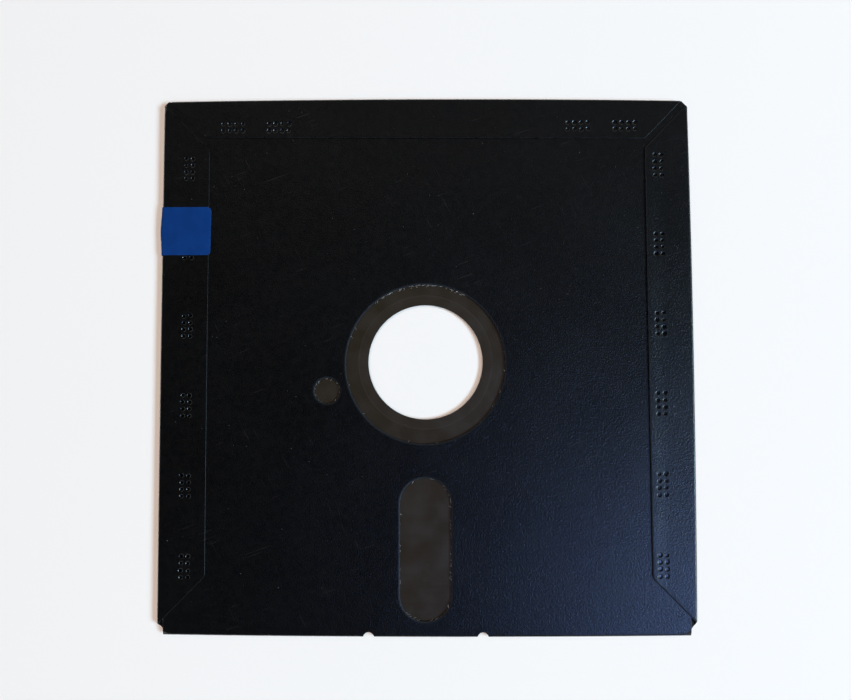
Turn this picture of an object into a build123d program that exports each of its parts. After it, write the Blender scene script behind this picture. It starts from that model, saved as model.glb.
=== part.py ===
"""Flexible disk cartridge of the 130 mm (5.25 inch) size, lying with its back up.

The jacket is one folded sheet: front panel, a plain fold at the bottom edge, back
panel, and three flaps that turn over the other edges and are welded to the back
panel in rows of dots. Inside it lie two fleece liners and the recording disk, which
turns about Z. A tab is folded round the left edge over the write-enable notch.

Millimetres. The origin is the centre of the hub hole, halfway through the recording
disk. +X is right and +Y is away from the head slot, seen from the back, and +Z
points out of the back.
"""

import os
from math import cos, radians, sin

from build123d import *

# Recording disk
disk_diameter = 130.2
disk_thickness = 0.08
hub_hole_diameter = 28.575
hub_ring_width = 2.4
hub_ring_thickness = 0.1
index_hole_diameter = 2.54
index_circle_radius = 25.4
index_hole_angle = 40.0

# Sheets and the room between them
sheet = 0.25
liner_thickness = 0.15
disk_to_liner = 0.2
flap_seat_gap = 0.02
disk_edge_clearance = 1.3
disk_lift = 0.45

# Jacket outline and folds
fold_radius = 0.45
back_panel_inset = 1.45
back_panel_corner_cut = 1.2
top_corner_cut = 1.4
liner_inset = 0.2
liner_corner_cut = 1.0
right_fold_clear = 3.0
left_fold_clear = 2.4
left_slit_width = 0.25
left_slit_rise = 1.6

# Flaps: width at the middle, and how much wider one end is than the other
right_flap_width = 11.25
right_flap_taper = 0.6
left_flap_width = 11.9
left_flap_taper = 0.0
top_flap_width = 9.7
top_flap_taper = 0.7
side_mitre_setback = 0.8
top_mitre_setback = 1.5
flap_corner_radius = 2.0
top_flap_corner_radius = 1.0

# Weld dots
weld_dot_diameter = 0.85
weld_dot_pitch = 1.7
weld_dot_depth = 0.1
weld_dot_sides = 8
weld_rows = 2
weld_columns = 4
side_weld_groups = 6
side_weld_end_margin = 17.0
right_weld_margin = 3.0
left_weld_margin = 5.15
right_weld_shift = 0.1
left_weld_shift = -0.4
top_weld_margin = 2.85
top_weld_end_margin = 17.15
top_weld_pair_pitch = 11.8
top_weld_shift = 0.7

# Windows
hub_clamp_land = 5.56
index_window_land = 1.905
index_window_angle = 195.2
slot_width = 12.7
slot_to_hub_window = 8.5
slot_to_edge = 3.3
liner_cut_setback = 0.1
relief_pitch = 28.18
relief_radius = 1.44
relief_depth = 1.1
notch_width = 6.35
notch_depth = 3.8
notch_from_top = 33.6

# Write-protect tab
tab_thickness = 0.1
tab_reach = 12.45
tab_overlap = 2.9
tab_shift = 0.45
tab_skew = 0.2
tab_corner_radius = 1.1
tab_fold_radius = 0.55
tab_slack = 0.1

# Levels, counted from the middle of the recording disk
liner_inner = disk_thickness / 2 + disk_to_liner
panel_inner = liner_inner + liner_thickness
panel_outer = panel_inner + sheet
flap_inner = panel_outer + flap_seat_gap
flap_outer = flap_inner + sheet

# Places in the jacket's plan, counted from its centre
half = disk_diameter / 2 + disk_edge_clearance + sheet
bend = half - sheet / 2 - fold_radius
panel_half = half - back_panel_inset
wall_middle = (flap_outer - panel_outer) / 2
right_start = right_fold_clear - half
left_start = left_fold_clear - half
hub_window_radius = hub_hole_diameter / 2 + hub_clamp_land
index_window_radius = index_hole_diameter / 2 + index_window_land
jacket_place = Location((0, -disk_lift, 0))

# How far a piece runs into the one it is joined to
joint_overlap = 0.05


def plate(outline, low, high):
    """A flat sheet with this outline between two levels."""
    return extrude(Pos(0, 0, low) * outline, high - low)


def polygon(*corners, radii=0):
    """A closed outline with rounded corners, one radius for all or one for each."""
    return make_face(FilletPolyline(*corners, radius=radii, close=True))


def wrapped_sheet(low, high, wall, reach_low, reach_high, radius, thickness):
    """Section of a sheet turned round an edge at +X, from level low up to level high."""
    line = FilletPolyline(
        (wall - reach_low, low),
        (wall, low),
        (wall, high),
        (wall - reach_high, high),
        radius=radius,
    )
    return trace(line, thickness)


def jacket_fold(level, start, end):
    """The jacket's sheet turned up round the edge at +X, to the sheet whose inner face is at level."""
    reach = half - sheet / 2 - bend + joint_overlap
    section = wrapped_sheet(
        -panel_inner - sheet / 2, level + sheet / 2, half - sheet / 2, reach, reach, fold_radius, sheet
    )
    return Pos(0, end, 0) * extrude(Plane.XZ * section, end - start)


def side_fold(start):
    """The fold at +X. Its lower end is cut both ways from a point at start on the edge, its upper end mitred."""
    depth = half - bend + joint_overlap
    inner = half - depth
    below = polygon((half, start), (half, start - depth), (inner, start - depth))
    above = polygon((half, start), (half, start - depth), (inner, start - depth), (inner, start + depth))
    mitre = polygon(
        (inner, inner - side_mitre_setback), (half, half - side_mitre_setback), (half, half), (inner, half)
    )
    fold = jacket_fold(flap_inner, start - depth, bend)
    return fold - plate(below, -panel_outer, wall_middle) - plate(above + mitre, wall_middle, flap_outer)


def top_fold():
    """The fold at the top edge, mitred at both ends."""
    inner = bend - joint_overlap
    mitre = polygon(
        (inner - top_mitre_setback, inner), (half - top_mitre_setback, half), (half, half), (half, inner)
    )
    mitres = mitre + mirror(mitre, Plane.YZ)
    return Rot(0, 0, 90) * jacket_fold(flap_inner, -bend, bend) - plate(mitres, wall_middle, flap_outer)


def front_panel():
    """The front panel, up to where each fold's bend begins, with a slit beside the left fold's lower end."""
    outline = polygon(
        (-panel_half, -bend),
        (panel_half, -bend),
        (panel_half, right_start - back_panel_inset),
        (bend, right_start + bend - half),
        (bend, bend),
        (-bend, bend),
        (-bend, left_start + bend - half),
        (-panel_half, left_start - back_panel_inset),
    )
    slit_height = back_panel_inset + left_slit_rise
    slit_middle = left_start + (left_slit_rise - back_panel_inset) / 2
    slit = Pos(-panel_half - left_slit_width / 2, slit_middle) * Rectangle(left_slit_width, slit_height)
    return plate(outline - slit, -panel_outer, -panel_inner)


def back_panel():
    """The back panel, which ends just inside the side and top folds."""
    cut = back_panel_corner_cut
    outline = polygon(
        (-panel_half, -bend),
        (panel_half, -bend),
        (panel_half, panel_half - cut),
        (panel_half - cut, panel_half),
        (cut - panel_half, panel_half),
        (-panel_half, panel_half - cut),
    )
    return plate(outline, panel_inner, panel_outer)


def side_flap(width, taper, start):
    """The flap over the edge at +X, with a mitre at each end and a rounded free edge."""
    top_edge = half - width - taper / 2
    bottom_edge = half - width + taper / 2
    outline = polygon(
        (bend, bend - side_mitre_setback),
        (top_edge, top_edge - side_mitre_setback),
        (bottom_edge, start + half - bottom_edge),
        (bend, start + half - bend),
        radii=[0, flap_corner_radius, flap_corner_radius, 0],
    )
    return plate(outline, flap_inner, flap_outer)


def top_flap():
    """The flap over the top edge."""
    right_edge = half - top_flap_width - top_flap_taper / 2
    left_edge = half - top_flap_width + top_flap_taper / 2
    outline = polygon(
        (bend - top_mitre_setback, bend),
        (top_mitre_setback - bend, bend),
        (top_mitre_setback - left_edge, left_edge),
        (right_edge - top_mitre_setback, right_edge),
        radii=[0, 0, top_flap_corner_radius, top_flap_corner_radius],
    )
    return plate(outline, flap_inner, flap_outer)


def mirrored(shape):
    """The shape moved to the left edge."""
    return mirror(shape, Plane.YZ)


def weld_dots():
    """The place of every weld dot, as (x, y)."""
    pitch = 2 * (half - side_weld_end_margin) / (side_weld_groups - 1)
    across = [(i - (weld_rows - 1) / 2) * weld_dot_pitch for i in range(weld_rows)]
    along = [(i - (weld_columns - 1) / 2) * weld_dot_pitch for i in range(weld_columns)]
    right = half - right_flap_width + right_weld_margin
    left = left_flap_width - half - left_weld_margin
    top = half - top_flap_width + top_weld_margin
    dots = []
    for i in range(side_weld_groups):
        y = half - side_weld_end_margin - i * pitch
        dots += [(right + a, y + right_weld_shift + b) for a in across for b in along]
        dots += [(left + a, y + left_weld_shift + b) for a in across for b in along]
    for side in (-1, 1):
        for inward in (0, top_weld_pair_pitch):
            x = side * (half - top_weld_end_margin - inward) + top_weld_shift
            dots += [(x + b, top + a) for a in across for b in along]
    return dots


def weld_pits():
    """The pressed pits on the outer face of the flaps."""
    outline = RegularPolygon(weld_dot_diameter / 2, weld_dot_sides)
    pit = plate(outline, flap_outer - weld_dot_depth, flap_outer + joint_overlap)
    return [Pos(x, y, 0) * pit for x, y in weld_dots()]


def weld_posts():
    """The melted sheet under each pit, which joins the flap to the back panel."""
    side = weld_dot_diameter / 2
    post = plate(Rectangle(side, side), panel_outer - joint_overlap, flap_inner + joint_overlap)
    return [Pos(x, y, 0) * post for x, y in weld_dots()]


def windows(setback=0.0):
    """Outlines of the hub window, the index window and the head slot, enlarged by setback."""
    slot_near = hub_window_radius + slot_to_hub_window
    slot_far = half - slot_to_edge
    angle = radians(index_window_angle)
    hub = Circle(hub_window_radius + setback)
    index = Pos(index_circle_radius * cos(angle), index_circle_radius * sin(angle)) * Circle(
        index_window_radius + setback
    )
    slot = SlotOverall(slot_far - slot_near + 2 * setback, slot_width + 2 * setback, rotation=90)
    return hub + index + Pos(0, -(slot_near + slot_far) / 2) * slot


def write_notch(setback=0.0):
    """Outline of the write-enable notch in the left edge, enlarged by setback."""
    depth = notch_depth + setback
    return Pos(-half + depth / 2, half - notch_from_top) * Rectangle(depth, notch_width + 2 * setback)


def edge_reliefs():
    """Outlines of the two round reliefs in the bottom edge."""
    centre = relief_depth - relief_radius - half
    return Sketch() + [Pos(x, centre) * Circle(relief_radius) for x in (-relief_pitch / 2, relief_pitch / 2)]


def top_corners():
    """Outlines of the two corners cut off the top of the folded sheet."""
    cut = top_corner_cut
    corner = polygon((half, half - cut), (half, half), (half - cut, half))
    return corner + mirror(corner, Plane.YZ)


def jacket():
    """The whole folded and welded sheet."""
    bottom_fold = jacket_fold(panel_inner, -panel_half, panel_half)
    sheet_parts = [
        back_panel(),
        Rot(0, 0, -90) * bottom_fold,
        top_fold(),
        top_flap(),
        side_fold(right_start),
        side_flap(right_flap_width, right_flap_taper, right_start),
        mirrored(side_fold(left_start)),
        mirrored(side_flap(left_flap_width, left_flap_taper, left_start)),
    ]
    whole = front_panel() + sheet_parts + weld_posts()
    holes = windows() + write_notch() + edge_reliefs() + top_corners()
    return whole - plate(holes, -panel_outer - sheet, flap_outer + sheet) - weld_pits()


def liner(low, high):
    """One fleece liner, with the jacket's windows cut through it."""
    side = panel_half - liner_inset
    outline = chamfer(Rectangle(2 * side, 2 * side).vertices(), liner_corner_cut)
    return plate(outline - windows(liner_cut_setback) - write_notch(liner_cut_setback), low, high)


def magnetic_disk():
    """The recording disk, with its hub hole and index hole."""
    angle = radians(index_hole_angle)
    index = Pos(index_circle_radius * cos(angle), index_circle_radius * sin(angle)) * Circle(
        index_hole_diameter / 2
    )
    outline = Circle(disk_diameter / 2) - Circle(hub_hole_diameter / 2) - index
    return plate(outline, -disk_thickness / 2, disk_thickness / 2)


def hub_ring():
    """The ring bonded to the disk's front face round the hub hole, where the drive clamps it."""
    inner = hub_hole_diameter / 2
    outline = Circle(inner + hub_ring_width) - Circle(inner)
    return plate(outline, -disk_thickness / 2 - hub_ring_thickness, -disk_thickness / 2)


def write_protect_tab():
    """The tab stuck to both outer faces over the notch, folded round the left edge."""
    wall = half + tab_slack + tab_thickness / 2
    low = -panel_outer - tab_thickness / 2
    high = flap_outer + tab_thickness / 2
    middle = half - notch_from_top + tab_shift
    height = notch_width + 2 * tab_overlap
    bottom, top = middle - height / 2, middle + height / 2
    reach = wall - half + tab_reach + tab_skew
    section = wrapped_sheet(low, high, wall, reach, reach, tab_fold_radius, tab_thickness)
    strip = Pos(0, top, 0) * extrude(Plane.XZ * section, height)
    inner, outer = half - tab_reach, wall + tab_thickness
    outline = polygon(
        (outer, bottom),
        (outer, top),
        (inner - tab_skew / 2, top),
        (inner + tab_skew / 2, bottom),
        radii=[0, 0, tab_corner_radius, tab_corner_radius],
    )
    return mirrored(strip & plate(outline, low - tab_thickness, high + tab_thickness))


def main():
    nodes = {
        "jacket": jacket_place * jacket(),
        "front_liner": jacket_place * liner(-panel_inner, -liner_inner),
        "back_liner": jacket_place * liner(liner_inner, panel_inner),
        "magnetic_disk": magnetic_disk(),
        "hub_ring": hub_ring(),
        "write_protect_tab": jacket_place * write_protect_tab(),
    }
    os.makedirs("parts", exist_ok=True)
    for name, shape in nodes.items():
        export_step(shape, f"parts/{name}.step")
        print(name, "solids", len(shape.solids()), "volume", round(shape.volume, 2))


main()
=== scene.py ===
"""Looks of the flexible disk cartridge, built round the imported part.

The jacket, the liners, the disk and the tab are each cut as a flat blank, folded where the real
sheet is folded, and given their thickness and rounded cut edges. Lengths are millimetres in the
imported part's frame and become metres when a mesh is made.
"""

import math
import random

import bpy
import numpy as np
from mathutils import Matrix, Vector, geometry


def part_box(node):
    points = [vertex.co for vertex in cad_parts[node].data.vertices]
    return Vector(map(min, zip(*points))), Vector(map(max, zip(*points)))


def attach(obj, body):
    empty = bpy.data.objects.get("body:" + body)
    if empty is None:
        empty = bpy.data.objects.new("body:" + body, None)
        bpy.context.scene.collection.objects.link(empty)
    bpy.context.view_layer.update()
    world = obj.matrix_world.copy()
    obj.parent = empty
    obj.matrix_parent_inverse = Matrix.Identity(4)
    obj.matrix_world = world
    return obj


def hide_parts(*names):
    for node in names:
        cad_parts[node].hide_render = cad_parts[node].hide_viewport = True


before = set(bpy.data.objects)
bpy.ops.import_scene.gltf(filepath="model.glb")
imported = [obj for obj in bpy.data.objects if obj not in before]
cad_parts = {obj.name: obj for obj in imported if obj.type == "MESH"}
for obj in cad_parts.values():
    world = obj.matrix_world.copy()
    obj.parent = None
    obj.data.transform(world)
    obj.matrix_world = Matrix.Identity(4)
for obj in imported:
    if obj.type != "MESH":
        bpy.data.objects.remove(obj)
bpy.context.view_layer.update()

MM = 0.001

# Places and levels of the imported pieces, from the frame
jacket_low, jacket_high = (np.array(corner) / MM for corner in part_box("jacket"))
half = (jacket_high[0] - jacket_low[0]) / 2
centre = np.array([0.0, (jacket_low[1] + jacket_high[1]) / 2])
spindle = np.zeros(2)
disk_low, disk_high = (np.array(corner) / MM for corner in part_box("magnetic_disk"))
disk_radius = (disk_high[0] - disk_low[0]) / 2
disk_thickness = disk_high[2] - disk_low[2]
tab_low, tab_high = (np.array(corner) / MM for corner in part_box("write_protect_tab"))
floor_level = tab_low[2]

# Jacket sheet
sheet = 0.25
flap_seat_gap = 0.02
fold_radius = 0.45
front_middle = jacket_low[2] + sheet / 2
flap_middle = jacket_high[2] - sheet / 2
back_middle = flap_middle - sheet - flap_seat_gap
bend = half - sheet / 2 - fold_radius

# Jacket outline
back_panel_inset = 1.45
panel_half = half - back_panel_inset
top_corner_cut = 1.4
upper_corner_cuts = {"right": 1.65, "left": 1.15}
lower_corner_drop = 0.75
fold_clear = {"right": 3.0, "left": 2.4}
left_slit_width = 0.25
left_slit_rise = 1.6

# Ears of the back panel, which close the mitre gaps at the top corners, and the right ear's ribs
ear_inset = 0.5
ear_end_inset = 0.1
ear_reach = 3.0
ear_room = 0.1
rib_pitch = 0.5
rib_depth = 0.06
ribs_reach = 1.75

# How the cut edges are drawn down, as depth and width, and the depth from which they are rough
window_drawn = (0.075, 0.62)
edge_drawn = (0.09, 0.36)
rough_depth = 0.03

# Flaps: width at the middle, and how much wider one end is than the other
flap_width = {"right": 11.25, "left": 11.9, "top": 9.7}
flap_taper = {"right": 0.6, "left": 0.0, "top": 0.7}
side_mitre_setback = 0.8
top_mitre_setback = 1.5
flap_corner_radius = 2.0
top_flap_corner_radius = 1.0

# Weld dots
weld_dot_pitch = 1.7
weld_rows, weld_columns = 2, 4
side_weld_groups = 6
weld_margin = {"right": 3.0, "left": 5.15, "top": 2.85}
weld_shift = {"right": 0.1, "left": -0.4, "top": 0.7}
side_weld_end_margin = 17.0
top_weld_end_margin = 17.15
top_weld_pair_pitch = 11.8
dot_wander = 0.05
dot_sizes = (0.88, 1.12)
dot_depths = (0.6, 1.15)

# A weld dot's pit, from its middle out: a flat bottom, a steep wall and a slightly raised rim
dot_radii = np.array([0.0, 0.20, 0.37, 0.45, 0.57, 0.65, 0.77])
dot_heights = np.array([-0.120, -0.120, -0.118, -0.100, -0.010, 0.012, 0.0])
melted_depth = 0.03

# Windows
hub_hole_radius = 14.2875
hub_window_radius = 19.8475
index_circle_radius = 25.4
index_window_radius = 3.175
index_window_angle = 195.2
index_hole_radius = 1.27
index_hole_angle = 40.0
slot_width = 12.7
slot_to_hub_window = 8.5
slot_to_edge = 3.3
relief_pitch = 28.18
relief_radius = 1.44
relief_depth = 1.1
notch_width = 6.35
notch_depth = 3.8
notch_from_top = 33.6
notch_top = half - notch_from_top + notch_width / 2
notch_bottom = notch_top - notch_width

# How the outline bows: the share of the half side past which points move, then how far out they go,
# as millimetres at the edge's middle, per half side, and per half side squared
edge_bow = {
    "right": (0.84, 0.09, -0.25, -0.47),
    "left": (0.50, 0.28, 0.10, 0.11),
    "top": (0.86, 0.42, -0.16, -0.59),
    "bottom": (0.95, -0.52, 0.05, 0.48),
}

# How the sheets lie. A flap begins to lift weld_hold outside its weld line and is free freed_reach
# further in, and over a weld group it keeps held_lift of its lift.
panel_wave = 0.07
wave_lengths = (28, 95)
wave_count = 7
flap_lift = {"right": 0.20, "left": 0.10, "top": 0.12}
flap_lift_reach = 6.0
held_lift = 0.75
weld_hold = 1.0
freed_reach = 4.5
film_wave = 0.03
film_wave_scale = 1.7

# Liners, their loose fibres, and the film's land round the hub
liner_corner_cut = 1.0
liner_cut_setback = 0.1
liner_fray = 0.03
fibre_lengths = (0.25, 1.1)
fibre_radii = (0.016, 0.036)
fibre_taper = 0.6
fibre_curl = 1.6
fibre_lean = (0.05, 0.5)
fibre_steps = 6
hub_land_width = 2.4

# Write-protect tab. Its bulge at the fold begins bulge_start inside the jacket's edge.
tab_thickness = 0.1
tab_fold_radius = 0.55
tab_skew = 0.2
tab_corner_radii = (1.0, 1.0, 1.15, 0.9)
tab_bulge = 0.35
bulge_start = 1.2
bulge_rise = 1.4
bulge_spread = 3.4
tab_sag = 0.10
front_sag = 0.04
sag_blur = 0.9
tab_step = 0.08
tab_step_width = 0.5

# How fine the meshes are: gaps between their points, and points on a rounded corner
lattice_step = 1.5
outline_step = 1.0
fold_step = 0.15
window_step = 0.8
fine_step = 0.4
fibre_step = 0.2
corner_points = 9
same_point = 1e-7
tiny = 1e-12
points_at_once = 2000

# Light
lamp_distance = 2.5
ambient_light = (0.10, 0.09, 0.08)

# Camera, with the photograph's width and the focal length in its pixels
photo_width = 852
focal_pixels = 700
camera_place = (1.94, -3.29, 175.13)
camera_tilt = (2.224, 0.597, -0.058)

seed = 8


def smooth_step(t):
    """0 below 0, 1 above 1, and a smooth rise between them."""
    t = np.clip(t, 0.0, 1.0)
    return t * t * (3 - 2 * t)


def arc(middle, radius, start, stop, count):
    """Points on an arc, angles in degrees."""
    angles = np.radians(np.linspace(start, stop, count))
    return [(middle[0] + radius * math.cos(a), middle[1] + radius * math.sin(a)) for a in angles]


def circle(radius, count, middle=(0, 0)):
    """Points round a circle, without the first one repeated."""
    return arc(middle, radius, 0, 360, count + 1)[:-1]


def rounded(corners, radii):
    """A closed outline with each corner rounded to its radius."""
    points = []
    for i, corner in enumerate(corners):
        here = Vector(corner)
        if not radii[i]:
            points.append(tuple(here))
            continue
        to_last = (Vector(corners[i - 1]) - here).normalized()
        to_next = (Vector(corners[(i + 1) % len(corners)]) - here).normalized()
        turn = to_last.angle(to_next)
        middle = here + (to_last + to_next).normalized() * radii[i] / math.sin(turn / 2)
        set_back = radii[i] / math.tan(turn / 2)
        start, stop = (math.atan2(*(here + way * set_back - middle).yx) for way in (to_last, to_next))
        sweep = (stop - start + math.pi) % (2 * math.pi) - math.pi
        points += arc(middle, radii[i], math.degrees(start), math.degrees(start + sweep), corner_points)
    return points


def divided(loop, step):
    """The closed outline with points added. step is the widest gap, or gives it for a place."""
    points = []
    gap_at = step if callable(step) else lambda place: step
    for a, b in zip(loop, loop[1:] + loop[:1]):
        a, b = np.array(a), np.array(b)
        count = max(1, math.ceil(np.linalg.norm(b - a) / gap_at((a + b) / 2)))
        points += [tuple(a + (b - a) * k / count) for k in range(count)]
    return points


def edges_of(loops):
    """Start and end points of every edge of the closed outlines."""
    starts = np.concatenate([np.array(loop) for loop in loops])
    ends = np.concatenate([np.roll(np.array(loop), -1, axis=0) for loop in loops])
    return starts, ends


def inside(points, loops):
    """Which points are inside the first outline and outside the others, by counting crossings."""
    (x1, y1), (x2, y2) = (side.T for side in edges_of(loops))
    odd = np.zeros(len(points), bool)
    for first in range(0, len(points), points_at_once):
        x, y = (v[:, None] for v in points[first : first + points_at_once].T)
        spans = (y1 > y) != (y2 > y)
        with np.errstate(divide="ignore", invalid="ignore"):
            crossing = spans & (x < x1 + (y - y1) * (x2 - x1) / (y2 - y1))
        odd[first : first + points_at_once] = crossing.sum(1) % 2 == 1
    return odd


def distance_to(points, loops):
    """Distance from each point to the nearest outline."""
    starts, ends = edges_of(loops)
    along = ends - starts
    square = np.maximum((along**2).sum(1), tiny)
    nearest = np.empty(len(points))
    for first in range(0, len(points), points_at_once):
        gap = points[first : first + points_at_once, None] - starts
        share = np.clip((gap * along).sum(2) / square, 0, 1)
        gap -= share[..., None] * along
        nearest[first : first + points_at_once] = np.sqrt((gap**2).sum(2)).min(1)
    return nearest


def unit(rows):
    """Each row brought to length 1, or left at 0."""
    return rows / np.maximum(np.linalg.norm(rows, axis=1), tiny)[:, None]


def vertex_normals(points, triangles):
    """Unit normals, each the sum of its triangles' normals."""
    a, b, c = (points[triangles[:, k]] for k in range(3))
    face = np.cross(b - a, c - a)
    total = np.zeros_like(points)
    for k in range(3):
        np.add.at(total, triangles[:, k], face)
    return unit(total)


def make_piece(name, points, faces, normals, shares, material, body, slot, stands_for=()):
    """A smooth mesh from millimetre points, which rides on a body.

    shares holds a number per point for each finish.
    """
    mesh = bpy.data.meshes.new(name)
    mesh.from_pydata((points * MM).tolist(), [], faces.tolist())
    mesh.shade_smooth()
    if normals is not None:
        mesh.normals_split_custom_set_from_vertices(normals.tolist())
    for finish, share in shares.items():
        mesh.attributes.new(finish, "FLOAT", "POINT").data.foreach_set("value", share.astype(np.float32))
    mesh.materials.append(material)
    piece = bpy.data.objects.new(name, mesh)
    bpy.context.scene.collection.objects.link(piece)
    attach(piece, body)
    if stands_for:
        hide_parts(*stands_for)


def cut_blank(loops, fill):
    """A flat blank's points and triangles, its rim's edges, and the way out of it at each rim point."""
    flat, edges = [], []
    for loop in loops:
        first, count = len(flat), len(loop)
        edges += [(first + k, first + (k + 1) % count) for k in range(count)]
        flat += [Vector(p) for p in loop]
    flat += [Vector(p) for p in fill]
    points, _, triangles, *_ = geometry.delaunay_2d_cdt(flat, edges, [], 0, same_point)
    points = np.array([tuple(p) for p in points])
    triangles = np.array(triangles)
    triangles = triangles[inside(points[triangles].mean(1), loops)]

    directed = np.concatenate([triangles[:, [0, 1]], triangles[:, [1, 2]], triangles[:, [2, 0]]])
    known = set(map(tuple, directed.tolist()))
    rim_edges = np.array(sorted(e for e in known if e[::-1] not in known))
    step = unit(points[rim_edges[:, 1]] - points[rim_edges[:, 0]])
    outward = np.zeros_like(points)
    for k in range(2):
        np.add.at(outward, rim_edges[:, k], np.column_stack([step[:, 1], -step[:, 0]]))
    return points, triangles, rim_edges, unit(outward)


def sheet_piece(name, loops, fill, shape, thickness, edge_round, marks=None, **dress):
    """A thin sheet with rounded cut edges.

    loops are the outline and the holes of the flat blank, and fill the points inside them. shape
    takes flat points and gives the middle of the sheet, its outward normal, and how much the outer
    face is raised there. marks takes flat points and gives shares for more finishes of the outer
    face. dress is what make_piece needs besides the mesh.
    """
    flat, triangles, rim_edges, outward = cut_blank(loops, fill)
    rim = np.unique(rim_edges)
    middle, normal, raised = shape(flat - outward * edge_round)
    brink, brink_normal, brink_raised = shape(flat[rim])
    if (vertex_normals(middle, triangles) * normal).sum() < 0:
        triangles, rim_edges = triangles[:, ::-1], rim_edges[:, ::-1]

    outer = middle + normal * (thickness / 2 + raised)[:, None]
    inner = middle - normal * (thickness / 2)
    reach = thickness / 2 - edge_round
    upper = brink + brink_normal * (reach + brink_raised)[:, None]
    lower = brink - brink_normal * reach

    count, rim_count = len(flat), len(rim)
    place = np.zeros(count, int)
    place[rim] = np.arange(rim_count)
    on_upper, on_lower = 2 * count + place[rim_edges], 2 * count + rim_count + place[rim_edges]
    rings = [rim_edges, on_upper, on_lower, count + rim_edges]
    faces = [triangles, triangles[:, ::-1] + count]
    for near, far in zip(rings, rings[1:]):
        faces.append(np.column_stack([near[:, 1], near[:, 0], far[:, 0]]))
        faces.append(np.column_stack([near[:, 1], far]))

    sideways = unit(brink - middle[rim])
    above, below = vertex_normals(outer, triangles), vertex_normals(inner, triangles[:, ::-1])
    normals = np.concatenate([above, below, sideways, sideways])
    shares = {
        "cut_edge": np.repeat([0.0, 1.0], [2 * count, 2 * rim_count]),
        "inner": np.repeat([0.0, 1.0, 0.0], [count, count, 2 * rim_count]),
    }
    for finish, share in (marks(flat) if marks else {}).items():
        shares[finish] = np.concatenate([share, np.zeros(count + 2 * rim_count)])
    points = np.concatenate([outer, inner, upper, lower])
    make_piece(name, points, np.concatenate(faces), normals, shares, **dress)


def lattice(low, high, step=lattice_step, jitter=0.2):
    """Points of a square grid over a rectangle, each moved a little."""
    xs, ys = (np.arange(low[k] + step / 2, high[k], step) for k in (0, 1))
    grid = np.array(np.meshgrid(xs, ys)).reshape(2, -1).T
    return grid + np.random.default_rng(seed).uniform(-jitter, jitter, grid.shape) * step


def kept(points, loops, room):
    """The points inside the blank that are at least room away from its outlines."""
    points = points[inside(points, loops)]
    return points[distance_to(points, loops) > room]


class Fold:
    """A sheet turned back over an edge. Lengths along it count from where the bend begins."""

    def __init__(self, start, radius, low, high):
        self.start, self.radius, self.low, self.high = start, radius, low, high
        self.quarter = radius * math.pi / 2
        self.wall = high - low - 2 * radius
        self.length = 2 * self.quarter + self.wall
        self.blank = 2 * start + self.length

    def place(self, past):
        """How far out and how high the sheet's middle is at this length, and its normal there."""
        first = np.clip(past / self.radius, 0, math.pi / 2)
        second = np.clip((past - self.quarter - self.wall) / self.radius, 0, math.pi / 2)
        returned = np.maximum(past - self.length, 0)
        out = self.start + self.radius * (np.sin(first) + np.cos(second) - 1) - returned
        climbed = np.clip(past - self.quarter, 0, self.wall)
        height = self.low + self.radius * (1 - np.cos(first) + np.sin(second)) + climbed
        return out, height, np.sin(first + second), -np.cos(first + second)

    def turn(self, flat, axis, sign, points, normals):
        """Turn over the points of a blank that are past the bend at one of its sides.

        Gives which points those are, how far out they come, and which of them face up.
        """
        past = sign * flat[:, axis] - self.start
        turned = past > 0
        out, height, lean_out, lean_up = self.place(past[turned])
        points[turned, axis], points[turned, 2] = sign * out, height
        normals[turned, axis], normals[turned, 2] = sign * lean_out, lean_up
        return turned, out, past[turned] >= self.length

    def steps(self, count):
        """Lengths at which a row of points keeps each bend round."""
        steps = np.linspace(0, self.quarter, count)
        return np.concatenate([steps, steps + self.quarter + self.wall])


flap_fold = Fold(bend, fold_radius, front_middle, flap_middle)
back_fold = Fold(bend, fold_radius, front_middle, back_middle)

# Each side of the jacket: the axis it is on, which way it faces, and its fold
sides = {
    "right": (0, 1, flap_fold),
    "left": (0, -1, flap_fold),
    "top": (1, 1, flap_fold),
    "bottom": (1, -1, back_fold),
}


def weld_groups(side):
    """A flap's weld groups: their places along it, and how far out their line is."""
    if side == "top":
        outer = half - top_weld_end_margin
        pair = (outer, outer - top_weld_pair_pitch)
        along = np.array([sign * place for sign in (-1, 1) for place in pair])
    else:
        end = half - side_weld_end_margin
        along = np.linspace(end, -end, side_weld_groups)
    return along + weld_shift[side], half - flap_width[side] + weld_margin[side]


def weld_dots():
    """The blank place, size and depth of every weld dot."""
    chance = np.random.default_rng(seed + 1)
    along_dots = (np.arange(weld_columns) - (weld_columns - 1) / 2) * weld_dot_pitch
    across_dots = (np.arange(weld_rows) - (weld_rows - 1) / 2) * weld_dot_pitch
    dots = []
    for side in ("right", "left", "top"):
        axis, sign, _ = sides[side]
        along, out = weld_groups(side)
        for place in along:
            for a in along_dots:
                for b in across_dots:
                    dot = np.empty(2)
                    dot[axis] = sign * (flap_fold.blank - out - b)
                    dot[1 - axis] = place + a
                    dots.append(dot + chance.normal(0, dot_wander, 2))
    size = chance.uniform(*dot_sizes, len(dots))
    depth = chance.uniform(*dot_depths, len(dots))
    return np.array(dots), size, depth


dots, dot_size, dot_depth = weld_dots()


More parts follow.
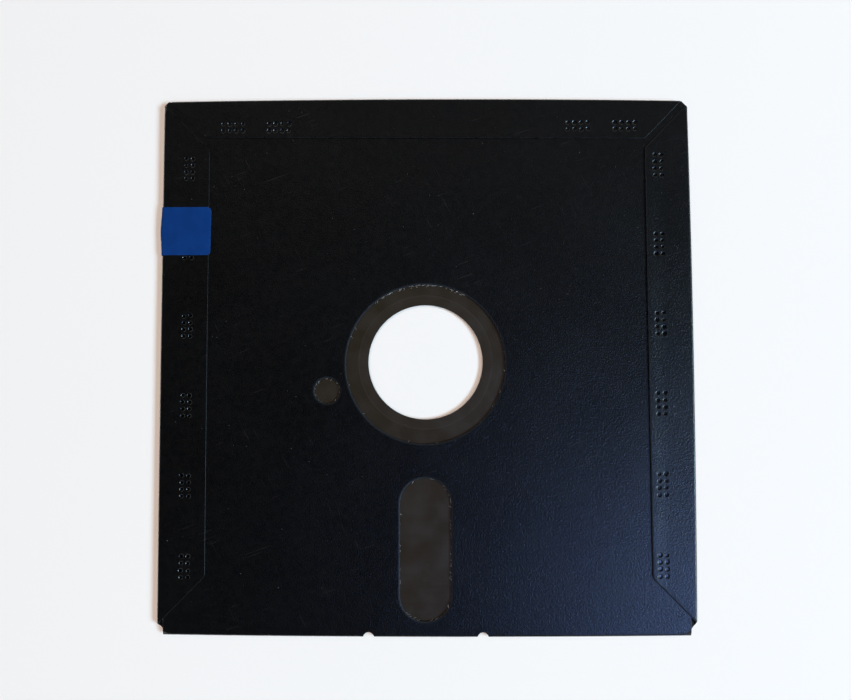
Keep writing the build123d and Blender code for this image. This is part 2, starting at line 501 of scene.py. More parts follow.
def jacket_outline():
    """The flat blank's outline, anticlockwise from the front panel's lower right corner."""
    fold, flap_blank, back_blank = flap_fold.length, flap_fold.blank, back_fold.blank
    middle_of_wall = bend + fold / 2
    overhang = half - bend

    def fold_end(name, setback):
        """Where a fold ends at a top corner: cut off all round, and mitred above the middle of its wall."""
        past = flap_fold.steps(count=5)
        out = flap_fold.place(past)[0]
        upper = np.minimum(2 * half - upper_corner_cuts[name] - out, out - setback)
        limit = np.where(past > fold / 2, upper, 2 * half - top_corner_cut - out)
        return [(bend + a, b, 0) for a, b in zip(past, limit)]

    def ear(name):
        """The back panel's corner, reaching out between the mitred flaps, from its side to its top."""
        cut = upper_corner_cuts[name]
        side_line, top_line = side_mitre_setback - ear_room, top_mitre_setback - ear_room
        near = half - ear_inset
        tip_x = half - (cut - side_line) / 2
        tip_y = half - max(ear_end_inset, (cut - top_line) / 2)
        grown = back_panel_inset - ear_inset
        return [
            (panel_half, half - ear_reach), (near, half - ear_reach + grown), (near, near - side_line),
            (tip_x, tip_x - side_line), (2 * half - cut - tip_y, tip_y), (tip_y - top_line, tip_y),
            (near - top_line, near), (half - ear_reach + grown, near), (half - ear_reach, panel_half),
        ]

    def side(name, sign):
        """A side of the blank, from the front panel's lower corner up to the end of its fold."""
        start = fold_clear[name] - half
        low = start - back_panel_inset
        drop = lower_corner_drop if name == "right" else 0.0
        inner, taper = half - flap_width[name], flap_taper[name]
        top_edge, bottom_edge = inner - taper / 2, inner + taper / 2
        corners = [(panel_half, -bend, 0), (panel_half, low - drop, 0)]
        if name == "left":
            slit_top, slit_side = start + left_slit_rise, panel_half + left_slit_width
            corners += [(panel_half, slit_top, 0), (slit_side, slit_top, 0)]
            corners.append((slit_side, low + left_slit_width, 0))
        corners += [
            (bend, start - overhang - drop / 2, 0),
            (middle_of_wall, start, 0),
            (bend + fold, start + overhang, 0),
            (flap_blank - bottom_edge, start + half - bottom_edge, flap_corner_radius),
            (flap_blank - top_edge, top_edge - side_mitre_setback, flap_corner_radius),
        ]
        return [(sign * x, y, r) for x, y, r in corners + fold_end(name, side_mitre_setback)[::-1]]

    def top_side(name, sign, edge):
        """Half of the top flap, from the end of its fold to its free corner, which is at this edge."""
        corners = [(y, x, 0) for x, y, _ in fold_end(name, top_mitre_setback)]
        corners.append((edge - top_mitre_setback, flap_blank - edge, top_flap_corner_radius))
        return [(sign * x, y, r) for x, y, r in corners]

    inner, taper = half - flap_width["top"], flap_taper["top"]
    top = top_side("right", 1, inner - taper / 2) + top_side("left", -1, inner + taper / 2)[::-1]
    deep = half - notch_depth
    notch = [(panel_half, notch_bottom), (deep, notch_bottom), (deep, notch_top), (panel_half, notch_top)]
    back = [(-x, -back_blank - y, 0) for x, y in notch + ear("left")]
    back += [(x, -back_blank - y, 0) for x, y in ear("right")[::-1]]
    corners = side("right", 1) + top + side("left", -1)[::-1] + back
    return rounded([(x, y) for x, y, _ in corners], [r for *_, r in corners])


def on_index_circle(angle):
    """A place on the circle that the index hole runs round, from its angle in degrees."""
    angle = math.radians(angle)
    return index_circle_radius * math.cos(angle), index_circle_radius * math.sin(angle)


def window_loops(setback=0.0, count=180):
    """Outlines of the hub window, the index window and the head slot, enlarged by setback."""
    near = -(hub_window_radius + slot_to_hub_window + slot_width / 2)
    far = -(half - slot_to_edge - slot_width / 2)
    radius = slot_width / 2 + setback
    slot = arc((0, near), radius, 0, 180, count // 4) + arc((0, far), radius, 180, 360, count // 4)
    return [
        circle(hub_window_radius + setback, count),
        circle(index_window_radius + setback, count // 4, on_index_circle(index_window_angle)),
        slot,
    ]


def on_back(loop):
    """The same outline on the blank's back panel."""
    return [(x, -back_fold.blank - y) for x, y in loop]


def relief_loop(x, count=33):
    """A round relief in the bottom edge, cut through the front panel, the fold and the back panel."""
    circle_y = relief_depth - relief_radius - half
    deep = circle_y + relief_radius
    past = np.linspace(-deep - bend, back_fold.length + bend + deep, count)
    plan_y = -np.where(past < 0, bend + past, back_fold.place(np.maximum(past, 0))[0])
    width = np.sqrt(np.maximum(relief_radius**2 - (plan_y - circle_y) ** 2, 0))
    y = -bend - past
    return [(x + w, v) for w, v in zip(width, y)] + [(x - w, v) for w, v in zip(width, y)][-2:0:-1]


def gap_near(place, margin=0.1):
    """The widest gap between outline points at this place on the blank, small on the folds."""
    on_fold = bend - margin < np.abs(place).max() < bend + flap_fold.length + margin
    return fold_step if on_fold else outline_step


def jacket_loops():
    """The blank's outline and all its holes."""
    near, far = notch_depth - half, half - notch_depth - flap_fold.blank
    notch = [(near, notch_top), (near, notch_bottom), (far, notch_bottom), (far, notch_top)]
    loops = [divided(loop, gap_near) for loop in (jacket_outline(), notch)]
    loops += [divided(loop, window_step) for loop in window_loops()]
    loops += [on_back(loop) for loop in loops[2:]]
    return loops + [relief_loop(x) for x in (-relief_pitch / 2, relief_pitch / 2)]


def jacket_fill(loops):
    """Points over the blank: lattices on its flat parts, and rows and rings where it is shaped."""
    past_flap, dot_room = 1.0, 0.3
    fold = flap_fold.length + lattice_step / 3
    flap_end = flap_fold.blank - half + flap_width["left"] + past_flap
    flat = [
        lattice((-bend, -bend), (bend, bend)),
        lattice((-panel_half, -back_fold.blank - half), (panel_half, -bend - fold)),
        lattice((bend + fold, -half), (flap_end, half)),
        lattice((-flap_end, -half), (-bend - fold, half)),
        lattice((-half, bend + fold), (half, flap_end)),
    ]
    flat = kept(np.concatenate(flat), loops, room=lattice_step / 2)
    nearest = np.sqrt(((flat[:, None] - dots) ** 2).sum(2)).min(1)
    flat = flat[(nearest > dot_radii[-1] + dot_room) & (from_chamfer(flat) > ribs_reach)]
    rows = []
    for axis, sign, fold in sides.values():
        for past in fold.steps(count=7):
            row = np.empty((round(2 * half / lattice_step), 2))
            row[:, axis] = sign * (bend + past)
            row[:, 1 - axis] = np.linspace(-half, half, len(row))
            rows.append(row)
    rows = kept(np.concatenate(rows), loops, room=0.08)
    rings = [dots]
    for k, radius in enumerate(dot_radii[1:]):
        ring = np.array(circle(radius, 10 if k else 8))
        rings.append((dots[:, None] + ring * dot_size[:, None, None]).reshape(-1, 2))
    ribs = kept(ear_rows(), loops, room=0.05)
    outlines, back_windows = loops[:2], loops[5:8]
    edge_rows = [rows_beside(outlines, edge_drawn[1] * share) for share in (0.5, 1.0)]
    edge_rows += [rows_beside(back_windows, window_drawn[1] * share) for share in (0.25, 0.5, 0.75, 1.0)]
    edge_rows = np.concatenate(edge_rows)
    edge_rows = edge_rows[inside(edge_rows, loops)]
    return np.concatenate([flat, rows, ribs, *rings, edge_rows])


def from_chamfer(flat):
    """How far blank points are inside the cut of the back panel's top right corner, or half elsewhere."""
    plan_y = -back_fold.blank - flat[:, 1]
    inward = (2 * half - upper_corner_cuts["right"] - flat[:, 0] - plan_y) / math.sqrt(2)
    return np.where(flat[:, 1] < -back_fold.blank, inward, half)


def ear_rows():
    """Rows of blank points over the back panel's top right corner, close enough to show its ribs."""
    first_row, gap_along = 0.06, 0.25
    inward = np.arange(first_row, ribs_reach, rib_pitch / 8)
    sideways = np.arange(-ear_reach, ear_reach, gap_along)
    inward, sideways = (v.ravel() for v in np.meshgrid(inward, sideways))
    tip = half - upper_corner_cuts["right"] / 2
    x = tip - (inward + sideways) / math.sqrt(2)
    y = -back_fold.blank - (tip - (inward - sideways) / math.sqrt(2))
    return np.column_stack([x, y])


def rib_relief(flat):
    """How deep the ribs of the top right corner lie below the outer face."""
    inward = from_chamfer(flat)
    wave_share = (1 - np.cos(inward * 2 * math.pi / rib_pitch)) / 2
    return np.where(inward < ribs_reach, -rib_depth * wave_share, 0)


def rows_beside(loops, depth, slack=0.93):
    """Rows of blank points this far from the outlines, to both sides, where no outline is nearer."""
    rows = []
    for loop in loops:
        points = np.array(loop)
        along = unit(np.roll(points, -1, axis=0) - np.roll(points, 1, axis=0))
        across = np.column_stack([along[:, 1], -along[:, 0]])
        rows += [points + across * depth, points - across * depth]
    rows = np.concatenate(rows)
    return rows[distance_to(rows, loops) > depth * slack]


def drawn_relief(flat):
    """How far the outer face is drawn down near the back windows and the right flap's edges."""
    (window_depth, window_reach), (edge_depth, edge_reach) = window_drawn, edge_drawn
    window_gap = distance_to(flat, [on_back(loop) for loop in window_loops()])
    edge_gap = distance_to(flat, jacket_holes[:2])
    at_window = window_depth * np.clip(1 - window_gap / window_reach, 0, 1) ** 2
    at_edge = edge_depth * np.clip(1 - edge_gap / edge_reach, 0, 1) * (flat[:, 0] > half)
    return -np.maximum(at_window, at_edge)


def dot_relief(flat):
    """How much the weld dots raise the sheet's outer face, below zero in their pits."""
    gap = np.sqrt(((flat[:, None] - dots) ** 2).sum(2))
    nearest = gap.argmin(1)
    radius = gap[np.arange(len(flat)), nearest] / dot_size[nearest]
    return np.interp(radius, dot_radii, dot_heights) * dot_depth[nearest]


def jacket_marks(flat):
    """Where the outer face is melted by a weld dot, and so painted darker as shade, and where it is drawn
    down at a cut edge.
    """
    pressed = np.clip(-dot_relief(flat) / melted_depth, 0, 1)
    drawn = np.clip(-drawn_relief(flat) / rough_depth, 0, 1)
    return {"pressed": pressed, "drawn": drawn}


def bowed(points):
    """Plan points, counted from the jacket's centre, moved as the real outline bows."""
    moved = points.copy()
    for side, (axis, sign, _) in sides.items():
        start, middle, slope, curve = edge_bow[side]
        share = (sign * points[:, axis] / half - start) / (1 - start)
        along = points[:, 1 - axis] / half
        moved[:, axis] += smooth_step(share) * (middle + slope * along + curve * along**2)
    return moved


def wave(points):
    """Slow rise and fall of the panels over the plan."""
    chance = np.random.default_rng(seed + 2)
    total = np.zeros(len(points))
    for length in np.linspace(*wave_lengths, wave_count):
        heading, start = chance.uniform(0, 2 * math.pi, 2)
        along = points[:, 0] * math.cos(heading) + points[:, 1] * math.sin(heading)
        total += np.sin(along * 2 * math.pi / length + start) * length / wave_lengths[1]
    return panel_wave * total / wave_count**0.5


def free_edge_lift(side, along, out):
    """How far a flap stands off the panel. It lifts less where it is held at its weld groups."""
    groups, weld_line = weld_groups(side)
    group_reach = weld_columns * weld_dot_pitch / 2
    away = np.abs(along[:, None] - groups).min(1) - group_reach
    freed = smooth_step((weld_line + weld_hold - out) / freed_reach)
    return flap_lift[side] * freed * (held_lift + (1 - held_lift) * smooth_step(away / flap_lift_reach))


def laid_out(flat, level):
    """A blank's points at one level, and their normals, which point down."""
    return np.column_stack([flat, np.full(len(flat), level)]), np.tile([0.0, 0.0, -1.0], (len(flat), 1))


def jacket_shape(flat):
    """The blank folded up, with its welds, lifts, waves and bowed edges."""
    middle, normal = laid_out(flat, front_middle)
    for side, (axis, sign, fold) in sides.items():
        turned, out, face_up = fold.turn(flat, axis, sign, middle, normal)
        if side in flap_lift:
            lift = free_edge_lift(side, flat[turned, 1 - axis], out)
            middle[turned, 2] += np.where(face_up, lift, 0)
    share = (middle[:, 2] - front_middle) / (flap_middle - front_middle)
    middle[:, 2] += wave(middle[:, :2]) * np.clip(share, 0, 1)
    middle[:, :2] = bowed(middle[:, :2]) + centre
    return middle, normal, dot_relief(flat) + rib_relief(flat) + drawn_relief(flat)


def flat_shape(level, waviness=0.0, shift=centre):
    """The shape of a flat sheet whose middle is at level, for sheet_piece."""

    def shape(flat):
        height = level + waviness * wave(flat * film_wave_scale) / panel_wave
        normal = np.tile([0.0, 0.0, 1.0], (len(flat), 1))
        return np.column_stack([flat + shift, height]), normal, np.zeros(len(flat))

    return shape


def polar_fill(inner, outer, step):
    """Points on rings between two radii."""
    rings = []
    for k, radius in enumerate(np.arange(inner + step, outer - step / 2, step)):
        count = round(2 * math.pi * radius / step)
        turn = 180 * (k % 2) / count
        rings += arc((0, 0), radius, turn, turn + 360, count + 1)[:-1]
    return np.array(rings)


def recording_disk(film, ring_material):
    """The disk with its two holes, and the ring under its hub."""
    hub_hole = circle(hub_hole_radius, count=220)
    index_hole = circle(index_hole_radius, 40, on_index_circle(index_hole_angle))
    loops = [circle(disk_radius, count=360), hub_hole, index_hole]
    fill = kept(polar_fill(hub_hole_radius, disk_radius, step=1.6), loops, room=0.4)
    sheet_piece(
        "recording_disk", loops, fill, flat_shape(0.0, film_wave, spindle), disk_thickness, edge_round=0.02,
        material=film, body="disk", slot="recording_film", stands_for=["magnetic_disk"],
    )
    ring_low, ring_high = (np.array(corner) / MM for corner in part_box("hub_ring"))
    outer = (ring_high[0] - ring_low[0]) / 2
    loops = [circle(outer, count=220), hub_hole]
    fill = kept(polar_fill(hub_hole_radius, outer, step=0.7), loops, room=0.2)
    shape = flat_shape((ring_low[2] + ring_high[2]) / 2, shift=spindle)
    sheet_piece(
        "hub_reinforcement", loops, fill, shape, ring_high[2] - ring_low[2], edge_round=0.03,
        material=ring_material, body="disk", slot="hub_ring", stands_for=["hub_ring"],
    )


def liner(node, fleece):
    """One fleece liner, with the windows cut through it and every cut edge frayed a little."""
    low, high = (np.array(corner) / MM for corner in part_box(node))
    side = (high[0] - low[0]) / 2
    cut = liner_corner_cut
    inner = half - notch_depth - liner_cut_setback
    top = notch_top + liner_cut_setback
    bottom = notch_bottom - liner_cut_setback
    outline = [
        (side, cut - side), (side, side - cut), (side - cut, side), (cut - side, side), (-side, side - cut),
        (-side, top), (-inner, top), (-inner, bottom), (-side, bottom),
        (-side, cut - side), (cut - side, -side), (side - cut, -side),
    ]
    chance = np.random.default_rng(seed + 3)
    loops = [divided(outline, window_step)]
    loops += [divided(loop, fine_step) for loop in window_loops(liner_cut_setback)]
    loops = [np.array(loop) + chance.normal(0, liner_fray, (len(loop), 2)) for loop in loops]
    fill = kept(lattice((-side, -side), (side, side), step=2.5), loops, room=0.8)
    level = (low[2] + high[2]) / 2
    sheet_piece(
        node + "_fleece", loops, fill, flat_shape(level), high[2] - low[2], edge_round=0.04,
        material=fleece, body="cartridge", slot="liner", stands_for=[node],
    )


def fibres(fleece):
    """Loose fibres of the back liner that stand out of its cut edges in the windows."""
    chance = random.Random(seed)
    liner_low, liner_high = (corner.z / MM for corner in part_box("back_liner"))
    margin = 0.02
    hub, index, slot = window_loops(liner_cut_setback - margin)
    points, faces = [], []

    def strand(x, y, heading):
        """One fibre, a tube of four sides that thins and curls from its root at x, y."""
        length = chance.uniform(*fibre_lengths)
        radius = chance.uniform(*fibre_radii)
        curl = chance.uniform(-fibre_curl, fibre_curl)
        z = chance.uniform(liner_low + margin, liner_high)
        heading += chance.uniform(*fibre_lean)
        first = len(points)
        for k in range(fibre_steps + 1):
            thin = radius * (1 - fibre_taper * k / fibre_steps)
            dx, dy = -math.sin(heading) * thin, math.cos(heading) * thin
            points.extend([(x + dx, y + dy, z), (x, y, z + thin), (x - dx, y - dy, z), (x, y, z - thin)])
            x += math.cos(heading) * length / fibre_steps
            y += math.sin(heading) * length / fibre_steps
            heading += curl / fibre_steps
        for k in range(fibre_steps):
            a = first + 4 * k
            for j in range(4):
                b, c = a + j, a + (j + 1) % 4
                faces.extend([(b, c, c + 4), (b, c + 4, b + 4)])

    def along(loop, tries, likely):
        """Fibres from random points of a cut edge. likely says how often a try at x, y gives one."""
        loop = divided(loop, fibre_step)
        for _ in range(tries):
            k = chance.randrange(len(loop))
            (x1, y1), (x2, y2) = loop[k], loop[(k + 1) % len(loop)]
            if chance.random() < likely(x1, y1):
                strand(x1, y1, math.atan2(y2 - y1, x2 - x1))

    along(hub, tries=800, likely=lambda x, y: 0.8 if y > 15 and x < 11 else 0.05)
    along(slot, tries=200, likely=lambda x, y: 0.35)
    along(index, tries=60, likely=lambda x, y: 0.4)
    points = np.array(points)
    points[:, :2] += centre
    make_piece(
        "liner_fibres", points, np.array(faces), None, {},
        material=fleece, body="cartridge", slot="liner",
    )


def write_protect_tab(vinyl):
    """The tab, wrapped round the left edge, bulging at the fold and sinking into the notch."""
    sunk = tab_thickness / 2
    fold = Fold(
        -tab_low[0] - sunk - tab_fold_radius, tab_fold_radius, tab_low[2] + sunk, tab_high[2] - sunk
    )
    bottom, top = tab_low[1] - centre[1], tab_high[1] - centre[1]
    inner = -tab_high[0]
    far = fold.blank - inner
    corners = [(-inner, bottom), (-inner, top), (-far, top), (tab_skew - far, bottom)]

    def gap_at(place):
        return fold_step if 0 < -place[0] - fold.start < fold.length else fine_step

    loops = [divided(rounded(corners, tab_corner_radii), gap_at)]
    fill = [
        lattice((-fold.start, bottom), (-inner, top), step=0.6),
        lattice((-far, bottom), (-fold.start - fold.length, top), step=0.6),
    ]
    fill = kept(np.concatenate(fill), loops, room=0.2)
    ys = np.linspace(bottom, top, num=20)
    rows = [np.column_stack([np.full_like(ys, -fold.start - past), ys]) for past in fold.steps(count=6)]
    fill = np.concatenate([fill, kept(np.concatenate(rows), loops, room=0.06)])
    past_edge, notch_inner, middle_y = 1.0, notch_depth - half, (bottom + top) / 2

    def shape(flat):
        points, normal = laid_out(flat, fold.low)
        fold.turn(flat, 0, -1, points, normal)
        x, y = points[:, 0], points[:, 1]
        on_back = points[:, 2] > 0
        near_edge = smooth_step((-x - half + bulge_start) / bulge_rise)
        points[:, 0] -= tab_bulge * near_edge * np.exp(-(((y - middle_y) / bulge_spread) ** 2))
        over = 1.0
        for room in (x + half + past_edge, notch_inner - x, y - notch_bottom, notch_top - y):
            over = over * smooth_step(room / sag_blur)
        points[:, 2] += np.where(on_back, -tab_sag, front_sag) * over
        flap_edge = flap_width["left"] - half
        lift = free_edge_lift("left", y, np.maximum(-x, -flap_edge))
        step = tab_step * smooth_step((x - flap_edge) / tab_step_width)
        points[:, 2] += np.where(on_back, lift - step, 0)
        points[:, 2] += np.where(on_back, wave(points[:, :2]), 0)
        points[:, :2] = bowed(points[:, :2]) + centre
        return points, normal, np.zeros(len(flat))

    sheet_piece(
        "write_protect_sticker", loops, fill, shape, tab_thickness, edge_round=0.03,
        material=vinyl, body="cartridge", slot="tab", stands_for=["write_protect_tab"],
    )


class Graph:
    """A short way to write a node tree."""

    def __init__(self, tree):
        self.tree = tree
        tree.nodes.clear()

    def add(self, kind, inputs, **settings):
        """A new node. inputs maps sockets to values or to the sockets that feed them."""
        node = self.tree.nodes.new("ShaderNode" + kind)
        for name, value in settings.items():
            setattr(node, name, value)
        for key, value in inputs.items():
            if isinstance(value, bpy.types.NodeSocket):
                self.tree.links.new(value, node.inputs[key])
            else:
                node.inputs[key].default_value = value
        return node

    def share(self, finish):
        """The share of a finish that the mesh carries at each point."""
        return self.add("Attribute", {}, attribute_name=finish).outputs["Fac"]

    def noise(self, vector, scale, detail=2.0, roughness=0.5):
        inputs = {"Vector": vector, "Scale": scale, "Detail": detail, "Roughness": roughness}
        return self.add("TexNoise", inputs).outputs[0]

    def math(self, operation, a, b=0.0):
        return self.add("Math", {0: a, 1: b}, operation=operation).outputs[0]

    def plus(self, a, b):
        return self.math("ADD", a, b)

    def times(self, a, b):
        return self.math("MULTIPLY", a, b)

    def ramp(self, value, low, high, start=0.0, end=1.0):
        """start where value is low and end where it is high, with a smooth rise between."""
        inputs = {0: value, 1: low, 2: high, 3: start, 4: end}
        return self.add("MapRange", inputs, interpolation_type="SMOOTHSTEP").outputs[0]

    def mix(self, share, first, second):
        """The first colour where share is 0, and the second where it is 1."""
        return self.add("Mix", {0: share, 6: first, 7: second}, data_type="RGBA").outputs[2]

    def stretched(self, vector, scale, angle):
        """Coordinates turned in the plan and scaled along each axis."""
        inputs = {"Vector": vector, "Rotation": (0.0, 0.0, math.radians(angle)), "Scale": scale}
        return self.add("Mapping", inputs, vector_type="TEXTURE").outputs[0]

    def bump(self, height, depth):
        """A normal bent by height, where depth is the real height in metres of a step from 0 to 1."""
        return self.add("Bump", {"Height": height, "Distance": depth, "Strength": 1.0}).outputs[0]

    def surface(self, **inputs):
        """The material's shader. inputs has the sockets' names with _ for a space."""
        shader = self.add("BsdfPrincipled", {key.replace("_", " "): value for key, value in inputs.items()})
        self.tree.links.new(shader.outputs[0], self.add("OutputMaterial", {}).inputs[0])


def new_graph(name):
    """A material, the graph of its nodes, and the point on the piece, in metres."""
    material = bpy.data.materials.new(name)
    material.use_nodes = True
    g = Graph(material.node_tree)
    return material, g, g.add("TexCoord", {}).outputs["Object"]


def colour(*shares):
    """A colour socket's value from linear shares of red, green and blue, or one share for a grey."""
    return (*(shares * 3)[:3], 1.0)


def specks(g, place, scale, radius, share=0.10):
    """Small spots on a share of the cells, each 1 at its middle."""
    cells = g.add("TexVoronoi", {"Vector": place, "Scale": scale}).outputs
    number = g.add("SeparateColor", {"Color": cells["Color"]}).outputs[0]
    spot = g.ramp(cells["Distance"], radius * 0.4, radius, 1.0, 0.0)
    return g.times(spot, g.math("GREATER_THAN", number, 1 - share))


def scratches(g, place, angle, amount):
    """Fine short lines along one direction."""
    lines = g.noise(g.stretched(place, (0.012, 0.00022, 0.01), angle), 1.0, 1.0)
    breaks = g.noise(place, 140.0, 2.0)
    return g.times(g.ramp(lines, 0.71, 0.76, 0.0, amount), g.ramp(breaks, 0.5, 0.62))


def jacket_plastic():
    """Black vinyl with a fine grain, melted weld dots painted darker as shade, dust, light scratches, and
    rubbed edges painted lighter, partly as highlight.
    """
    material, g, place = new_graph("jacket_plastic")
    edge_share, pressed, inner, drawn = (g.share(name) for name in ("cut_edge", "pressed", "inner", "drawn"))
    worms = g.math("ABSOLUTE", g.math("SUBTRACT", g.noise(place, 1700.0, 2.0), 0.5))
    pebbles = g.noise(place, 1900.0, 2.0, 0.6)
    fine = g.noise(place, 9000.0, 2.0)
    worm_height, pebble_height, fine_height, grain_depth = 0.4, 1.2, 0.12, 0.000034
    height = g.plus(g.times(g.ramp(worms, 0.0, 0.14), worm_height), g.times(pebbles, pebble_height))
    height = g.plus(height, g.times(fine, fine_height))
    height = g.times(height, g.math("SUBTRACT", 1.0, pressed))
    patches = g.noise(place, 45.0, 3.0)
    mottle = g.noise(place, 700.0, 4.0, 0.7)
    base = g.mix(g.ramp(mottle, 0.3, 0.7), colour(0.0016), colour(0.0034, 0.0034, 0.0033))
    # Painted shade: the weld pits are painted darker than the rest of the plastic.
    base = g.mix(pressed, base, colour(0.0008))
    # The cut edges are painted lighter: partly wear, and partly a painted highlight where they catch the
    # light.
    wear_and_painted_highlight = g.times(edge_share, g.ramp(mottle, 0.35, 0.65, 0.3, 1.0))
    base = g.mix(wear_and_painted_highlight, base, colour(0.009, 0.009, 0.010))
    lines = g.math("MAXIMUM", scratches(g, place, 20, 0.4), scratches(g, place, -62, 0.3))
    base = g.mix(lines, base, colour(0.05, 0.05, 0.055))
    dust = g.math("MAXIMUM", specks(g, place, 330.0, 0.045), specks(g, place, 900.0, 0.075))
    base = g.mix(g.times(dust, 0.75), base, colour(0.20, 0.20, 0.19))
    roughness = g.plus(g.ramp(patches, 0.3, 0.7, 0.27, 0.30), g.times(fine, 0.04))
    roughness = g.math("SUBTRACT", roughness, g.times(pressed, 0.10))
    roughness = g.plus(roughness, g.times(inner, 0.5))
    roughness = g.plus(roughness, g.times(g.math("MAXIMUM", edge_share, drawn), 0.3))
    g.surface(Base_Color=base, Roughness=roughness, Normal=g.bump(height, grain_depth))
    return material


def recording_film():
    """Smooth brown-grey film with faint rings, and a land round the hub that is barely lighter."""
    material, g, place = new_graph("recording_film")
    radius = g.add("VectorMath", {0: place}, operation="LENGTH").outputs["Value"]
    ring_place = g.add("CombineXYZ", {0: radius}).outputs[0]
    rings = g.noise(ring_place, 2600.0, 3.0, 0.6)
    smears = g.noise(place, 160.0, 3.0)
    base = g.mix(g.ramp(smears, 0.3, 0.7), colour(0.0162, 0.0116, 0.0056), colour(0.0204, 0.0162, 0.0104))
    land = (hub_hole_radius + hub_land_width) * MM
    base = g.mix(g.ramp(radius, land - 0.0001, land + 0.0001, 0.14, 0.0), base, colour(0.034, 0.030, 0.028))
    from_line = g.math("ABSOLUTE", g.math("SUBTRACT", radius, land))
    line = g.ramp(from_line, 0.00004, 0.00016, 0.22, 0.0)
    base = g.mix(line, base, colour(0.045, 0.042, 0.040))
    dust = specks(g, place, 420.0, 0.05)
    base = g.mix(g.times(dust, 0.6), base, colour(0.20, 0.20, 0.19))
    edge_share = g.share("cut_edge")
    base = g.mix(g.times(edge_share, 0.4), base, colour(0.05, 0.045, 0.05))
    roughness = g.plus(g.ramp(rings, 0.3, 0.7, 0.30, 0.38), g.ramp(smears, 0.35, 0.7, 0.0, 0.06))
    g.surface(Base_Color=base, Roughness=roughness, Normal=g.bump(rings, 0.0000006))
    return material


def ring_film():
    """The smooth dark film of the hub ring."""
    material, g, place = new_graph("ring_film")
    marks = g.noise(place, 900.0, 3.0)
    base = g.mix(marks, colour(0.022, 0.022, 0.024), colour(0.04, 0.04, 0.042))
    g.surface(Base_Color=base, Roughness=g.ramp(marks, 0.3, 0.7, 0.28, 0.4), Normal=g.bump(marks, 0.000001))
    return material


def fleece_fabric():
    """White nonwoven fleece: a mat of fine crossing fibres."""
    material, g, place = new_graph("fleece_fabric")
    mat = None
    for angle in (12, 71, -38):
        strands = g.noise(g.stretched(place, (0.0012, 0.00006, 0.001), angle), 1.0, 2.0)
        mat = strands if mat is None else g.math("MAXIMUM", mat, strands)
    base = g.mix(g.ramp(mat, 0.45, 0.75), colour(0.42, 0.42, 0.41), colour(0.74, 0.74, 0.72))
    g.surface(Base_Color=base, Roughness=0.9, Sheen_Weight=0.3, Normal=g.bump(mat, 0.00003))
    return material


def tab_vinyl():
    """Dark blue film with a satin face, paler where it is cut."""
    material, g, place = new_graph("tab_vinyl")
    cloud = g.noise(place, 260.0, 3.0)
    tooth = g.noise(place, 5200.0, 2.0)
    base = g.mix(g.ramp(cloud, 0.3, 0.7), colour(0.0026, 0.034, 0.168), colour(0.0036, 0.039, 0.192))
    edge_share = g.share("cut_edge")
    base = g.mix(g.times(edge_share, 0.8), base, colour(0.05, 0.16, 0.42))
    dust = specks(g, place, 800.0, 0.08, 0.08)
    base = g.mix(g.times(dust, 0.5), base, colour(0.2, 0.24, 0.34))
    roughness = g.ramp(cloud, 0.3, 0.7, 0.24, 0.32)
    g.surface(Base_Color=base, Roughness=roughness, Specular_IOR_Level=0.03, Normal=g.bump(tooth, 0.000004))
    return material


def floor_sheet():
    """A plain pale floor under the cartridge."""
    material, g, place = new_graph("floor_sheet")
    shade = g.noise(place, 6.0, 1.0)
    base = g.mix(shade, colour(0.955), colour(0.965))
    g.surface(Base_Color=base, Roughness=0.9, Specular_IOR_Level=0.0)
    reach = 4000.0
    mesh = bpy.data.meshes.new("floor")
    corners = [(x * reach, y * reach, floor_level) for x, y in ((-1, -1), (1, -1), (1, 1), (-1, 1))]
    mesh.from_pydata((np.array(corners) * MM).tolist(), [], [(0, 1, 2, 3)])
    mesh.materials.append(material)
    floor = bpy.data.objects.new("floor", mesh)
    bpy.context.scene.collection.objects.link(floor)


def area_lamp(name, azimuth, elevation, size, tint, share, shines=True, lights=True):
    """A rectangular lamp that faces the cartridge. It lights a flat white surface to share of white.

    Azimuth is counted anticlockwise from +X, in degrees, and size is in degrees across and up.
    shines says whether glossy surfaces show it, and lights whether it lights what faces it.
    """
    lamp = bpy.data.lights.new(name, "AREA")
    lamp.shape = "RECTANGLE"
    lamp.size, lamp.size_y = (2 * lamp_distance * math.tan(math.radians(angle / 2)) for angle in size)
    lamp.color = tint
    a, e = math.radians(azimuth), math.radians(elevation)
    lamp.energy = share * math.pi**2 * lamp_distance**2 / math.sin(e)
    away = Vector((math.cos(a) * math.cos(e), math.sin(a) * math.cos(e), math.sin(e)))
    holder = bpy.data.objects.new(name, lamp)
    holder.location = away * lamp_distance
    holder.rotation_euler = (-away).to_track_quat("-Z", "Y").to_euler()
    holder.visible_camera = False
    holder.visible_glossy = shines
    holder.visible_diffuse = lights
    bpy.context.scene.collection.objects.link(holder)


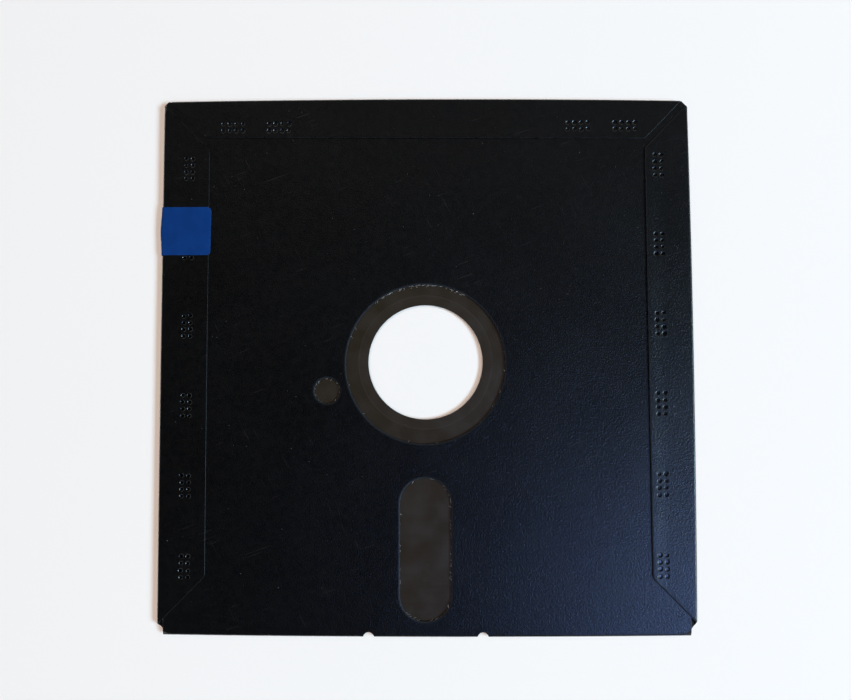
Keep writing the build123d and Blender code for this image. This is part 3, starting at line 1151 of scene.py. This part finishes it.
def surroundings():
    """Weak light from all round. The camera sees it as plain pale, and so does gloss where it is low."""
    world = bpy.data.worlds.new("surroundings")
    world.use_nodes = True
    bpy.context.scene.world = world
    g = Graph(world.node_tree)
    direction = g.add("TexCoord", {}).outputs["Generated"]
    rise = g.add("SeparateXYZ", {"Vector": direction}).outputs["Z"]
    path = g.add("LightPath", {}).outputs
    low = g.ramp(rise, 0.2, 0.5, 1.0, 0.0)
    glossy = g.math("MAXIMUM", path["Is Glossy Ray"], path["Is Transmission Ray"])
    mirrored = g.times(glossy, low)
    ambient = g.mix(path["Is Diffuse Ray"], colour(0.0), colour(*ambient_light))
    seen = g.math("MAXIMUM", path["Is Camera Ray"], mirrored)
    shown = g.mix(seen, ambient, colour(0.96, 0.965, 0.98))
    background = g.add("Background", {"Color": shown, "Strength": 1.0})
    g.tree.links.new(background.outputs[0], g.add("OutputWorld", {}).inputs[0])


def camera():
    """The photograph's camera, fitted to the jacket's outline, the hub hole and the windows."""
    data = bpy.data.cameras.new("camera")
    data.sensor_width = 36.0
    data.lens = data.sensor_width * focal_pixels / photo_width
    data.clip_start, data.clip_end = 0.005, 20.0
    holder = bpy.data.objects.new("camera", data)
    holder.location = (np.array(camera_place) + [centre[0], centre[1], 0]) * MM
    holder.rotation_euler = [math.radians(angle) for angle in camera_tilt]
    bpy.context.scene.collection.objects.link(holder)
    bpy.context.scene.camera = holder


jacket_holes = jacket_loops()
sheet_piece(
    "folded_jacket", jacket_holes, jacket_fill(jacket_holes), jacket_shape, sheet, edge_round=0.08,
    marks=jacket_marks, material=jacket_plastic(), body="cartridge", slot="jacket", stands_for=["jacket"],
)
recording_disk(recording_film(), ring_film())
fleece = fleece_fabric()
for node in ("front_liner", "back_liner"):
    liner(node, fleece)
fibres(fleece)
write_protect_tab(tab_vinyl())

floor_sheet()
area_lamp("window", azimuth=-14, elevation=34.5, size=(30, 16), tint=(0.56, 0.82, 1.0), share=0.60)
area_lamp(
    "ceiling", azimuth=120, elevation=84, size=(56, 56), tint=(1.0, 0.78, 0.65), share=0.72, shines=False
)
area_lamp(
    "sky", azimuth=-42, elevation=57, size=(12, 12), tint=(0.25, 0.41, 1.0), share=0.17, lights=False
)
area_lamp(
    "far_wall", azimuth=90, elevation=62, size=(50, 20), tint=(1.0, 0.95, 0.92), share=0.016, lights=False
)
surroundings()
camera()
bpy.context.scene.view_settings.view_transform = "Standard"
